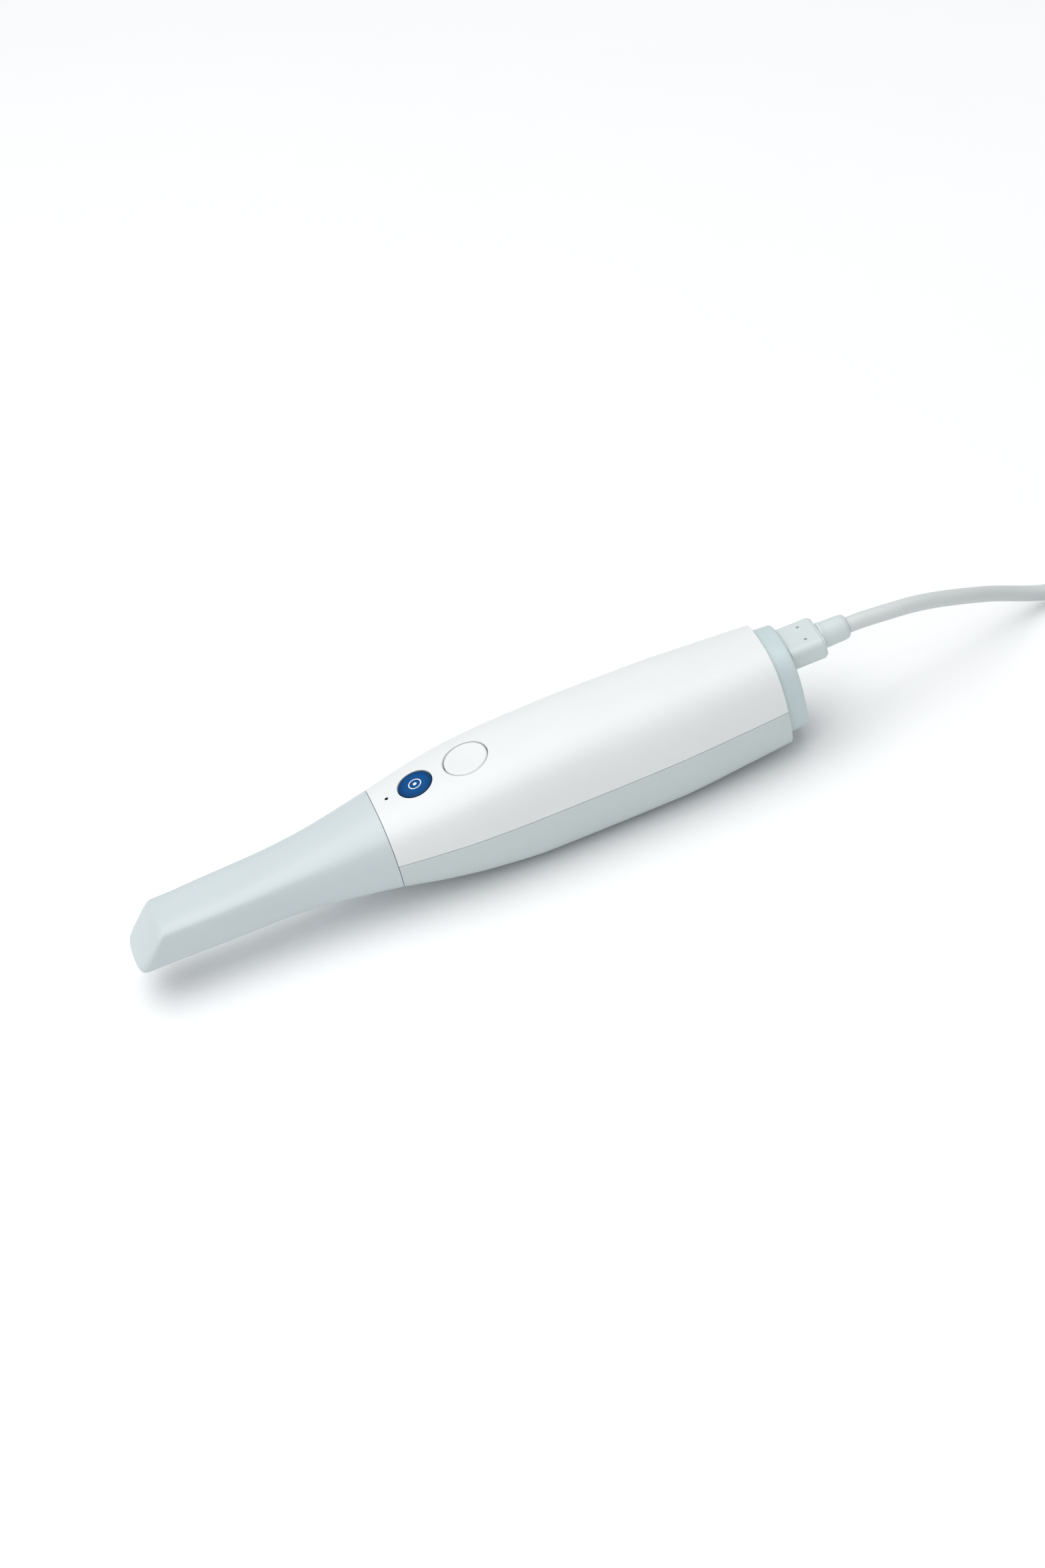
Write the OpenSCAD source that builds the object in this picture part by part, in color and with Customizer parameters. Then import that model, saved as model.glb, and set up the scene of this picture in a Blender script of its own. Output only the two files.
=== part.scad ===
// Intraoral camera: a hand-held dental scanner with a slide-off mirror tip, two buttons and a
// detachable data cable. Millimetres, +Z up, +X from the tip to the cable. It lies on its belly,
// and the origin is at the centre of the handpiece's footprint.

/* [Handpiece] */
// How far the tip's front edge stands out past the first station of the outline
tip_nose = 1; // [0.5:0.1:1.2]
// Wall thickness of the two body shells
shell_wall = 2; // [1.8:0.1:2.2]
// Height of the parting line above the body axis
split_z = 1; // [0.5:0.5:1.5]

/* [Tip] */
// Wall thickness of the slide-off tip
tip_wall = 1.6; // [1.4:0.1:1.6]
// Length of the window in the underside of the tip
window_len = 15; // [13:1:15]
// Width of that window
window_w = 13.4; // [12:0.2:13.4]

/* [Buttons] */
// Radius of the round scan button
scan_r = 7.8; // [7.4:0.1:8]
// How far the scan button goes down
scan_travel = 0.8; // [0.4:0.1:0.8]
// Radius of the round mode button
mode_r = 6.1; // [5.6:0.1:6.2]
// How far the mode button goes down
mode_travel = 0.5; // [0.3:0.1:0.5]

/* [Cable] */
// Diameter of the data cable
cord_d = 5.7; // [5.5:0.1:5.7]
// Width of the plug at the handpiece end
plug_w = 16.7; // [16:0.1:17]
// Thickness of that plug
plug_t = 8.7; // [8.4:0.1:8.8]

/* [Hidden] */
$fn = 64;
ring_back = 244;     // rear face of the ring, from the first station of the outline
slip = 0.3;          // gap between pieces that move past each other
touch = 0.05;        // gap between pieces that are glued or clipped together
belly = 23.8;        // depth of the underside below the body axis

// The outline: distance from the first station, half width, height above the axis, depth
// below it, and how square the upper and the lower half are (2 is an ellipse).
OUTLINE = [
    [0,   11.0, 6.9,  8.9,   4.9, 4.8],
    [12,  11.0, 7.0,  8.9,   4.9, 4.8],
    [32,  11.6, 7.6,  9.1,   4.4, 4.4],
    [52,  12.2, 8.9,  9.5,   3.6, 3.5],
    [66,  13.4, 10.7, 10.9,  3.0, 2.9],
    [80,  15.4, 13.3, 13.5,  2.7, 2.5],
    [93,  17.4, 15.7, 16.2,  2.7, 2.3],
    [108, 19.6, 18.0, 19.4,  3.0, 2.4],
    [124, 21.3, 20.1, 21.8,  3.1, 2.5],
    [146, 22.0, 22.0, 23.7,  2.9, 2.6],
    [168, 22.0, 22.8, belly, 2.8, 2.6],
    [192, 21.7, 22.7, belly, 2.7, 2.6],
    [221, 19.9, 21.7, 21.8,  2.7, 2.6],
    [244, 17.9, 20.9, 19.9,  2.7, 2.6]];
LAST = len(OUTLINE) - 1;

// Where things are, as distances from the first station
tip_back = 92.85;
shell_front = 93.1;
shell_back = 236.5;
ring_front = 232.5;
nose_front = 50;
nose_back = 96.5;
seal_s = 87;
seal_len = 2;
face_slope = 0.88;   // how far the end face leans back for each millimetre up
lip_z = -6.5;        // the end face leans back above this height
lean_len = 24;       // the lean fades out over this length
bulge = 0.016;       // how the front edge curves back from the middle, for each square of the offset
front_wall = 2;
nose_gap = 2;        // the nose is set in this far from the outline
nose_wall = 1.6;
ring_in = [2.1, 2.1, 3.6];  // the ring is set in at the sides, the top and the bottom
ring_wall = 1.2;
plate_s = 241.4;
plate_t = 1.6;
socket_z = 11.8;
light_s = 98;
mode_s = 108.7;
scan_s = 127.7;
switch_z = -7.2;     // the switches' level below the outer surface, along each button's own axis
plunger_gap = 0.7;   // from that level up to the end of a button's plunger
seam = 0.1;          // gap along the parting line
fan_s = 223.5;
fan_z = -4;
fan_w = 22;
fan_t = 8;
fan_r = 9.8;
shaft_r = 0.75;
SECTION_POINTS = 48;
ARC_POINTS = 16;

// ---- The outline as a smooth curve through its stations ----
function secant(k, i) = (OUTLINE[i + 1][k] - OUTLINE[i][k]) / (OUTLINE[i + 1][0] - OUTLINE[i][0]);
function tangent(k, i) =
    i == 0 ? secant(k, 0) : i == LAST ? secant(k, LAST - 1) :
    let (a = secant(k, i - 1), b = secant(k, i)) a * b <= 0 ? 0 : 2 * a * b / (a + b);
function station(s) = max([for (i = [0:LAST - 1]) if (i == 0 || OUTLINE[i][0] <= s) i]);
function at(s, k) =
    let (i = station(s), h = OUTLINE[i + 1][0] - OUTLINE[i][0], u = (s - OUTLINE[i][0]) / h,
         u2 = u * u, u3 = u2 * u)
    (2 * u3 - 3 * u2 + 1) * OUTLINE[i][k] + (u3 - 2 * u2 + u) * h * tangent(k, i)
    + (3 * u2 - 2 * u3) * OUTLINE[i + 1][k] + (u3 - u2) * h * tangent(k, i + 1);
function slope_at(s) = atan((at(s + 0.5, 2) - at(s - 0.5, 2)));
function bent(v, p) = (v < 0 ? -1 : 1) * pow(abs(v), p);

// Points [y, z] of the cross-section at s, set in by inset = [side, top, bottom], at these angles
function section(s, inset, angles) =
    let (a = at(s, 1) - inset[0], up = at(s, 2) - inset[1], down = at(s, 3) - inset[2],
         nu = at(s, 4), nd = at(s, 5))
    [for (t = angles) let (n = sin(t) >= 0 ? nu : nd, h = sin(t) >= 0 ? up : down)
        [a * bent(cos(t), 2 / n), h * bent(sin(t), 2 / n)]];
ROUND = [for (i = [0:SECTION_POINTS - 1]) i * 360 / SECTION_POINTS];
function even(inset) = [inset, inset, inset];
function ring(s, inset) = [for (p = section(s, inset, ROUND)) [s, p[0], p[1]]];

// A ring of the tip: towards the front it leans back, so that the last one lies in the end face.
// The end face starts at the front edge, which bulges forward a little in the middle.
function lean(s) = max(0, 1 - s / lean_len);
function face(z) = let (d = z - lip_z, r = 1.5) face_slope * (d + sqrt(d * d + r * r)) / 2;
function face_x(z) = face(z) - face(lip_z - 0.4) - tip_nose;
mirror_lean = lean(front_wall);  // how much of the lean is left behind the end face
function tip_ring(s, inset, curve = 0) =
    [for (p = section(s, inset, ROUND))
        [s + lean(s) * (face_x(p[1]) + curve * p[0] * p[0]), p[0], p[1]]];

// ---- A skin over rings of points, from the front to the back and, if hollow, forward again ----
function band(a, b, m) =
    [for (i = [0:m - 1]) let (j = (i + 1) % m) each [[a + i, b + j, a + j], [a + i, b + i, b + j]]];
function cap_strips(base, m) =
    [for (i = [-m / 4:m / 4 - 1])
        let (a = (i + m) % m, b = (i + 1 + m) % m, c = (m / 2 - i - 1 + m) % m, d = (m / 2 - i + m) % m)
        each concat(b == c ? [] : [[base + a, base + b, base + c]],
                    a == d ? [] : [[base + a, base + c, base + d]])];
function flipped(faces) = [for (f = faces) [for (i = [len(f) - 1:-1:0]) f[i]]];

// ends is "strips" for a section that mirrors in Y, "polygon" for any flat one, "loop" for a tube
module skin(rings, ends = "strips") {
    m = len(rings[0]);
    last = len(rings) - 1;
    sides = [for (k = [0:last - 1]) each band(k * m, (k + 1) * m, m)];
    caps = ends == "strips" ? concat(cap_strips(0, m), flipped(cap_strips(last * m, m)))
        : ends == "polygon" ? [[for (i = [0:m - 1]) i], [for (i = [m - 1:-1:0]) last * m + i]]
        : band(last * m, 0, m);
    polyhedron([for (r = rings) each r], concat(sides, caps), convexity = 6);
}

// Stations from a to b, close to this step
function steps(a, b, step) = let (n = ceil((b - a) / step)) [for (i = [0:n]) a + (b - a) * i / n];
function backwards(list) = [for (i = [len(list) - 1:-1:0]) list[i]];

// One body shell's ring: the outer arc and the inner arc back, above or below the parting line
function split_angle(s, z) = asin(pow(z / at(s, 2), at(s, 4) / 2));
function arc_angles(s, upper) =
    let (t = split_angle(s, upper ? split_z : split_z - seam),
         a = upper ? t : 180 - t, b = upper ? 180 - t : 360 + t)
    [for (i = [0:ARC_POINTS]) a + (b - a) * i / ARC_POINTS];
function shell_ring(s, upper) =
    let (angles = arc_angles(s, upper), out = section(s, even(0), angles),
         in = section(s, even(shell_wall), angles))
    [for (p = concat(out, backwards(in))) [s, p[0], p[1]]];

// Everything is drawn with the first station at x = 0 and the body axis at z = 0, then put in place
module placed() translate([(tip_nose - ring_back) / 2, 0, belly]) children();
module block(x, y, z) translate([x[0], y[0], z[0]]) cube([x[1] - x[0], y[1] - y[0], z[1] - z[0]]);
// A cylinder along +X from x[0] to x[1]
module rod(x, r, y = 0, z = 0) translate([x[0], y, z]) rotate([0, 90, 0]) cylinder(h = x[1] - x[0], r = r);
// A place on the top surface, with +Z along its normal
module on_top(s) translate([s, 0, at(s, 2)]) rotate([0, -slope_at(s), 0]) children();
// A plate with a cross-section's outline, from s to s + t
module section_plate(s, inset, t)
    translate([s, 0, 0]) rotate([90, 0, 90]) linear_extrude(t) polygon(section(s, inset, ROUND));
// A block with rounded edges along X
module soft_bar(x, w, h, r, z = 0)
    translate([x[0], 0, z]) rotate([90, 0, 90]) linear_extrude(x[1] - x[0])
        soft_rect(w, h, r);
module soft_rect(w, h, r) {
    square([w - 2 * r, h], center = true);
    square([w, h - 2 * r], center = true);
    for (sy = [-1, 1], sz = [-1, 1]) translate([sy * (w / 2 - r), sz * (h / 2 - r)]) circle(r = r);
}

// ---- Tip ----
module tip_shell() color([0.83, 0.88, 0.89]) placed() difference() {
    outer = concat([[0, 2], [0.25, 1.1], [0.8, 0.4], [1.8, 0]],
        [for (s = steps(6, tip_back, 6.5)) [s, 0]]);
    inner = backwards(concat([[front_wall, tip_wall]],
        [for (s = steps(12, tip_back, 10)) [s, tip_wall]]));
    skin(concat([for (p = outer) tip_ring(p[0], even(p[1]), bulge)],
                [for (p = inner) tip_ring(p[0], even(p[1]))]));
    block([5.5, 5.5 + window_len], [-window_w / 2, window_w / 2], [-12, -6]);
    block([2.5, 26], [-9, 9], [-12, -8.1]);
}
module tip_mirror() color([0.75, 0.8, 0.82]) placed()
    translate([front_wall + 2 * touch + mirror_lean * face_x(-5.9), 0, -5.9])
        rotate([0, atan(mirror_lean * face_slope), 0])
        translate([0, -7.4, 0]) cube([1, 14.8, 13]);
module window_bezel() color([0.62, 0.69, 0.71]) placed() difference() {
    block([2.5 + touch, 26 - touch], [-9 + touch, 9 - touch], [-8.9, -8.15]);
    block([6, 5.5 + window_len - 0.5], [-window_w / 2 + 0.5, window_w / 2 - 0.5], [-12, -6]);
}

// ---- Nose and its window ----
module nose_barrel() color([0.16, 0.17, 0.18]) placed() {
    outer = concat([for (s = steps(nose_front, seal_s, 9)) [s, nose_gap]],
        [[seal_s, nose_gap + 0.8], [seal_s + seal_len, nose_gap + 0.8],
         [seal_s + seal_len, shell_wall + 0.15], [nose_back, shell_wall + 0.15]]);
    inner = backwards([for (s = steps(nose_front, nose_back, 9)) [s, nose_gap + nose_wall]]);
    skin([for (p = concat(outer, inner)) ring(p[0], even(p[1]))], "loop");
}
module nose_seal() color([0.1, 0.1, 0.1]) placed() {
    a = seal_s + touch;
    b = seal_s + seal_len - touch;
    outer = [for (s = [a, b]) ring(s, even(tip_wall + 0.25))];
    inner = [for (s = [b, a]) ring(s, even(nose_gap + 0.8 - touch))];
    skin(concat(outer, inner), "loop");
}
module nose_window() color([0.8, 0.9, 0.95, 0.4]) placed()
    section_plate(nose_front + 0.6, even(nose_gap + nose_wall + touch), 1.4);
module window_heater() color([0.7, 0.45, 0.2]) placed() difference() {
    section_plate(nose_front + 2.1, even(nose_gap + nose_wall + 0.1), 0.5);
    soft_bar([nose_front, nose_front + 5], 13, 7, 1.5);
}

// ---- Optics ----
module relay_tube() color([0.12, 0.12, 0.13]) placed() difference() {
    rod([60, 101], 5.9);
    rod([59, 102], 5.1);
}
module relay_lens(s) placed() intersection() {
    rod([s, s + 3.4], 5.1 - touch);
    translate([s + 13, 0, 0]) sphere(r = 13);
}
module relay_lens_front() color([0.8, 0.9, 0.95, 0.4]) relay_lens(62);
module relay_lens_rear() color([0.8, 0.9, 0.95, 0.4]) relay_lens(94);
module optics_chassis() color([0.6, 0.62, 0.64]) placed() difference() {
    block([100, 150], [-12, 12], [-11, 6.6]);
    block([103, 147.5], [-10, 10], [-9, 9]);
    rod([99, 104], 5.95);
    rod([146, 151], 5.6);
    translate([125, 0, -12]) cylinder(h = 5, r = 4.6);
}
module beam_splitter() color([0.75, 0.85, 0.95, 0.5]) placed()
    translate([125, 0, 0]) rotate([0, 45, 0]) translate([-0.5, -8, -8]) cube([1, 16, 16]);
module camera_lens_barrel() color([0.12, 0.12, 0.13]) placed() difference() {
    rod([147.6, 164], 5.5);
    rod([147, 165], 4.6);
}
module camera_lens() color([0.8, 0.9, 0.95, 0.4]) placed() intersection() {
    rod([149, 153], 4.6 - touch);
    translate([159, 0, 0]) sphere(r = 10);
}
module image_sensor() color([0.15, 0.17, 0.2]) placed() block([164.6, 165.8], [-5, 5], [-4, 4]);
module sensor_board() color([0.1, 0.35, 0.25]) placed() block([165.8, 167.2], [-10, 10], [-9, 7]);
module projector_barrel() color([0.12, 0.12, 0.13]) placed() translate([125, 0, -15]) difference() {
    cylinder(h = 6.5, r = 4.5);
    translate([0, 0, -1]) cylinder(h = 10, r = 3.7);
}
module projector_lens() color([0.8, 0.9, 0.95, 0.4]) placed()
    translate([125, 0, -12]) cylinder(h = 1.8, r = 3.7 - touch);
module pattern_chip() color([0.2, 0.2, 0.24]) placed() block([121, 129], [-3.5, 3.5], [-16, -15.05]);
module led_board() color([0.1, 0.35, 0.25]) placed() block([117, 133], [-7, 7], [-17.35, -16.05]);

// ---- Frame, cooling and boards ----
module inner_frame() color([0.25, 0.26, 0.28]) placed() difference() {
    union() {
        for (sy = [-1, 1]) translate([98, sy * 14 - 1.1, -4]) cube([123, 2.2, 4.5]);
        block([98, 99.8], [-13, 13], [-8, 7]);
        block([151, 153.5], [-14, 14], [-8, 8]);
        block([219, 221], [-14, 14], [-9, 6]);
    }
    rod([97, 100], 6);
    rod([150, 154], 5.6);
    rod([218, 222], fan_r - 2, 0, fan_z + 1);
}
module heat_sink() color([0.7, 0.71, 0.73]) placed() {
    block([174, 214], [-12, 12], [3, 6]);
    for (i = [-3:3]) translate([174, i * 3.6 - 0.6, -12]) cube([40, 1.2, 15]);
}
module thermal_pad() color([0.45, 0.55, 0.75]) placed() block([182, 206], [-9, 9], [6, 7.1]);
module main_board() color([0.1, 0.35, 0.25]) placed() difference() {
    block([170, 229], [-14.5, 14.5], [9, 10.6]);
    for (x = [173, 226], y = [-12, 12]) translate([x, y, 8]) cylinder(h = 4, r = 1.1);
}
module board_chips() color([0.12, 0.12, 0.13]) placed() {
    block([186, 202], [-8, 8], [7.1, 9]);
    block([180, 192], [-10, 0], [10.6, 12]);
    block([180, 192], [2, 10], [10.6, 12]);
    block([197, 207], [-5, 5], [10.6, 12.4]);
    for (i = [0:4]) block([210 + i * 2.6, 211.6 + i * 2.6], [-9, -6], [10.6, 11.6]);
}
module board_screws() color([0.75, 0.76, 0.78]) placed()
    for (x = [173, 226], y = [-12, 12]) translate([x, y, 7.6]) {
        cylinder(h = 3.4, r = 1);
        translate([0, 0, 3.05]) cylinder(h = 1.1, r = 1.9);
    }
module button_board() color([0.1, 0.35, 0.25]) placed() on_top(118)
    translate([-20.5, -8, switch_z - 2.6]) cube([36, 16, 1.2]);
module switch_at(s, travel) on_top(s) {
    translate([-3, -3, switch_z - 1.1]) cube([6, 6, 0.9]);
    translate([0, 0, switch_z - 0.3]) cylinder(h = plunger_gap + 0.3 - travel - touch, r = 1.6);
}
module tact_switches() color([0.2, 0.2, 0.22]) placed() {
    switch_at(mode_s, mode_travel);
    switch_at(scan_s, scan_travel);
}
module status_led() color([0.95, 0.95, 0.8]) placed() on_top(light_s)
    translate([-0.8, -0.5, switch_z - 0.5]) cube([1.6, 1, 0.6]);
module light_pipe() color([0.1, 0.15, 0.3]) placed() on_top(light_s)
    translate([0, 0, switch_z + 0.2]) cylinder(h = -switch_z - 0.3, r = 0.6);
module fan_frame() color([0.12, 0.12, 0.13]) placed() difference() {
    soft_bar([fan_s, fan_s + fan_t], fan_w, fan_w, 2, fan_z);
    rod([fan_s - 1, fan_s + fan_t - 0.8], fan_r, 0, fan_z);
    difference() {
        rod([fan_s, fan_s + fan_t + 1], fan_r, 0, fan_z);
        rod([fan_s - 1, fan_s + fan_t + 2], 4, 0, fan_z);
        for (a = [45, 135]) translate([fan_s, 0, fan_z]) rotate([a, 0, 0])
            translate([0, -12, -0.8]) cube([fan_t + 3, 24, 1.6]);
    }
    rod([fan_s, fan_s + fan_t + 1], shaft_r, 0, fan_z);
}
module fan_shaft() color([0.78, 0.79, 0.8]) placed() rod([fan_s + 2, fan_s + fan_t], shaft_r, 0, fan_z);
module fan_rotor() color([0.2, 0.2, 0.22]) placed() translate([fan_s + 0.6, 0, fan_z]) {
    rotate([0, 90, 0]) difference() {
        cylinder(h = 5.8, r = 4);
        translate([0, 0, 1.2]) cylinder(h = 5, r = shaft_r + touch);
    }
    for (i = [0:6]) rotate([i * 360 / 7, 0, 0]) translate([0.6, 0, 3.5]) rotate([0, 0, 32])
        translate([0, -0.4, 0]) cube([5, 0.8, 5.6]);
}
module connector_board() color([0.1, 0.35, 0.25]) placed() block([229.1, 230.4], [-9, 9], [7, 15.5]);
module connector_socket() color([0.3, 0.31, 0.33]) placed() difference() {
    soft_bar([230.4, plate_s - touch], 15, 8, 1, socket_z);
    soft_bar([233, plate_s + 1], 12.6, 5.2, 0.8, socket_z);
}
module socket_tongue() color([0.85, 0.7, 0.3]) placed() soft_bar([233, 240.6], 9.4, 1.6, 0.3, socket_z);

// ---- Body shells and the rear ----
module upper_shell() color([0.94, 0.945, 0.94]) placed() difference() {
    skin([for (s = steps(shell_front, shell_back, 9)) shell_ring(s, true)], "polygon");
    on_top(scan_s) translate([0, 0, -6]) cylinder(h = 10, r = scan_r + 0.35);
    on_top(mode_s) translate([0, 0, -6]) cylinder(h = 10, r = mode_r + slip);
    on_top(light_s) translate([0, 0, -6]) cylinder(h = 10, r = 0.6 + touch);
}
module lower_shell() color([0.7, 0.74, 0.75]) placed()
    skin([for (s = steps(shell_front, shell_back, 9)) shell_ring(s, false)], "polygon");
module rear_ring() color([0.68, 0.74, 0.75]) placed() {
    outer = [for (s = [ring_front, 236, 240, 242.6, 243.6]) ring(s, ring_in)];
    edge = ring(ring_back, ring_in + even(0.4));
    inner = [for (s = [ring_back, 240, 236, ring_front]) ring(s, ring_in + even(ring_wall))];
    skin(concat(outer, [edge], inner), "loop");
}
module rear_plate() color([0.62, 0.69, 0.7]) placed() difference() {
    section_plate(plate_s, ring_in + even(ring_wall + 0.15), plate_t);
    soft_bar([plate_s - 1, plate_s + 3], 12.8, 5.4, 0.8, socket_z);
    for (i = [0:4]) soft_bar([plate_s - 1, plate_s + 3], 15 - abs(i - 2), 1.5, 0.7, fan_z + (i - 2) * 3);
    rear_screw_places() rod([plate_s - 1, plate_s + 3], 1.1);
}
module rear_screw_places()
    for (p = [[-11.2, 5.5], [11.2, 5.5], [-9.5, -10.5], [9.5, -10.5]]) translate([0, p[0], p[1]]) children();
module rear_screws() color([0.78, 0.79, 0.8]) placed() rear_screw_places() difference() {
    union() {
        rod([plate_s - 4.4, plate_s + 2], 1);
        rod([plate_s + plate_t + 0.02, plate_s + plate_t + 0.8], 1.8);
    }
    translate([plate_s + plate_t + 0.4, 0, 0]) rotate([0, 90, 0]) cylinder(h = 1, r = 0.9, $fn = 6);
}

// ---- Buttons: a cap in its hole, a collar under the shell and a plunger down to its switch ----
module button_cap(s, r, dish_r) on_top(s) difference() {
    union() {
        translate([0, 0, -3.4]) cylinder(h = 3.3, r = r);
        translate([0, 0, -4.3]) cylinder(h = 0.9, r = r + 1);
        translate([0, 0, switch_z + plunger_gap]) cylinder(h = 3, r = 1.5);
    }
    if (dish_r > 0) translate([0, 0, dish_r - 0.5]) sphere(r = dish_r, $fn = 96);
}
module scan_button() color([0.94, 0.945, 0.94]) placed() button_cap(scan_s, scan_r, 75);
module mode_button() color([0.11, 0.33, 0.57]) placed() difference() {
    button_cap(mode_s, mode_r, 0);
    symbol(-0.45);
}
// A plain dot in a ring, set in the blue cap
module symbol(z) on_top(mode_s) translate([0, 0, z]) {
    cylinder(h = 1, r = 0.7);
    difference() {
        cylinder(h = 1, r = 2.4);
        translate([0, 0, -1]) cylinder(h = 3, r = 1.95);
    }
}
module mode_symbol() color([0.93, 0.95, 0.96]) placed() intersection() {
    symbol(-0.45);
    on_top(mode_s) translate([0, 0, -0.45]) cylinder(h = 0.25, r = 3);
}

// ---- Cable: points of its route, from the neck to the coil and from the coil to the far plug ----
// Points [x, y, z] from the origin
ROUTE = [[146.4, 0, 35.6], [151, 0, 35.5], [156, 0.1, 35], [162, 0.4, 34.1], [170, 1.5, 32.3],
    [180, 3.6, 28.5], [189, 5.5, 24.3], [196, 7.4, 20.5], [203, 9.3, 16.5], [210, 10.7, 12.3],
    [217, 11.5, 8.4], [223, 11.9, 5.7], [229, 12.1, 4], [236, 12.2, 3.3]];
coil_x = [248.5, 293];              // ends of the straight runs of the tied coil
coil_y = -13.14;                    // its middle line
coil_mid = 21.25;                   // radius at the middle of its turns, where they bend
coil_pitch = 6;                     // from one turn to the next, sideways
coil_rise = 5.8;                    // from one layer to the next
coil_layers = 6;
coil_turns = 8.19 / coil_layers;    // turns in a layer
tie_t = 0.4;                        // thickness of the straps above and under the coil
coil_out = coil_mid + coil_turns * coil_pitch / 2 + cord_d / 2;
coil_in = coil_mid - coil_turns * coil_pitch / 2 - cord_d / 2;
coil_top = tie_t + (coil_layers - 1) * coil_rise + cord_d;
TAIL = [[288, 12.2, 32.25], [293, 12.2, 32.25], [298, 12.2, 31.9], [303, 12.1, 30.8], [309, 11.9, 28.4],
    [315, 11.5, 24.4], [321, 11, 18.6], [327, 10.4, 12.6], [333, 9.8, 8.4], [339, 9.3, 5.9],
    [344, 9, 4.7], [350, 8.9, 4.2]];
far_plug_c = TAIL[len(TAIL) - 1];   // where the tail goes into the far plug's neck

// A point on the smooth curve through the points, between point i and the next
function curve(pts, i, u) =
    let (n = len(pts) - 1, a = pts[max(i - 1, 0)], b = pts[i], c = pts[min(i + 1, n)],
         d = pts[min(i + 2, n)])
    0.5 * (2 * b + (c - a) * u + (2 * a - 5 * b + 4 * c - d) * u * u
        + (3 * b - a - 3 * c + d) * u * u * u);
function smooth(pts) =
    [for (i = [0:len(pts) - 2], u = [0, 0.5]) curve(pts, i, u), pts[len(pts) - 1]];
function unit(v) = v / norm(v);
// Rings of points round a line, each square to it
function cord_ring(line, i, r, sides) =
    let (n = len(line) - 1, t = unit(line[min(i + 1, n)] - line[max(i - 1, 0)]),
         a = unit(cross([0, 0, 1], t)), b = cross(t, a))
    [for (k = [0:sides - 1]) line[i] + r * (cos(k * 360 / sides) * a + sin(k * 360 / sides) * b)];
module cord_tube(pts, r, sides = 12) {
    line = smooth(pts);
    skin([for (i = [0:len(line) - 1]) cord_ring(line, i, r, sides)], "polygon");
}

plug_s = ring_back + 0.2;
module cable_plug() color([0.86, 0.89, 0.9]) placed() difference() {
    union() {
        soft_bar([plug_s, plug_s + 12.6], plug_w, plug_t, 2.6, socket_z);
        soft_bar([plug_s + 12.6, plug_s + 13.3], plug_w - 1.2, plug_t - 1.2, 2, socket_z);
    }
    for (sy = [-1, 1]) translate([plug_s + 7.5, sy * 3.7, socket_z + plug_t / 2 - 0.25])
        cylinder(h = 2, r = 0.6);
}
module plug_shell() color([0.8, 0.81, 0.82]) placed() difference() {
    soft_bar([234.4, plug_s], 12, 4.6, 0.8, socket_z);
    soft_bar([233, plug_s - 1], 10.8, 3.4, 0.5, socket_z);
}
module cable_neck() color([0.87, 0.9, 0.91]) placed() translate([plug_s + 13.3, 0, socket_z])
    rotate([0, 90, 0]) rotate_extrude()
        polygon([[0, 0], [4.9, 0], [4.9, 0.8], [4.7, 1.2], [4.6, 8], [4.3, 9.6], [3.8, 10.2],
                 [cord_d / 2, 10.4], [0, 10.4]]);
module cable_cord() color([0.84, 0.86, 0.86]) {
    cord_tube(ROUTE, cord_d / 2);
    cord_tube(TAIL, cord_d / 2);
}
module coil_section(grow = 0, up = 0)
    soft_rect(coil_out - coil_in + grow, coil_top - tie_t + up, 2.4 + up / 2);
coil_z = (coil_top + tie_t) / 2;
module cable_coil() color([0.84, 0.86, 0.86]) translate([0, coil_y, coil_z]) {
    for (i = [0, 1]) translate([coil_x[i], 0, 0]) rotate([0, 0, i == 0 ? 90 : -90])
        rotate_extrude(angle = 180) translate([(coil_in + coil_out) / 2, 0]) coil_section();
    coil_run(coil_x) coil_section();
}
// The two straight runs of the coil, or a stretch of them
module coil_run(x)
    for (sy = [-1, 1]) translate([x[0], sy * (coil_in + coil_out) / 2, 0]) rotate([90, 0, 90])
        linear_extrude(x[1] - x[0]) children();
module coil_tie() color([0.2, 0.21, 0.22]) translate([0, coil_y, coil_z]) coil_run([261, 271]) difference() {
    coil_section(1.6, 2 * tie_t);
    coil_section(0.04, 0.04);
}
module at_far_plug() translate(far_plug_c) children();
module far_neck() color([0.3, 0.31, 0.33]) at_far_plug() rotate([0, 90, 0]) rotate_extrude()
    polygon([[0, 0], [cord_d / 2, 0], [3.2, 0.4], [4, 10], [0, 10]]);
module far_plug() color([0.3, 0.31, 0.33]) at_far_plug() soft_bar([10, 33], 15.6, 8.2, 2);
module far_plug_shell() color([0.8, 0.81, 0.82]) at_far_plug() difference() {
    soft_bar([33, 45], 12, 4.6, 0.5);
    soft_bar([35, 46], 11.2, 3.8, 0.3);
}

tip_shell();
tip_mirror();
window_bezel();
nose_barrel();
nose_window();
window_heater();
nose_seal();
relay_tube();
relay_lens_front();
relay_lens_rear();
optics_chassis();
beam_splitter();
camera_lens_barrel();
camera_lens();
image_sensor();
sensor_board();
projector_barrel();
projector_lens();
pattern_chip();
led_board();
inner_frame();
heat_sink();
thermal_pad();
main_board();
board_chips();
board_screws();
button_board();
tact_switches();
status_led();
light_pipe();
fan_frame();
fan_shaft();
fan_rotor();
connector_board();
connector_socket();
socket_tongue();
rear_plate();
rear_screws();
rear_ring();
lower_shell();
upper_shell();
scan_button();
mode_button();
mode_symbol();
cable_plug();
plug_shell();
cable_neck();
cable_cord();
cable_coil();
coil_tie();
far_neck();
far_plug();
far_plug_shell();
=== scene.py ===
import math

import bmesh
import bpy
import numpy as np
from mathutils import Matrix, Vector


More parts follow.
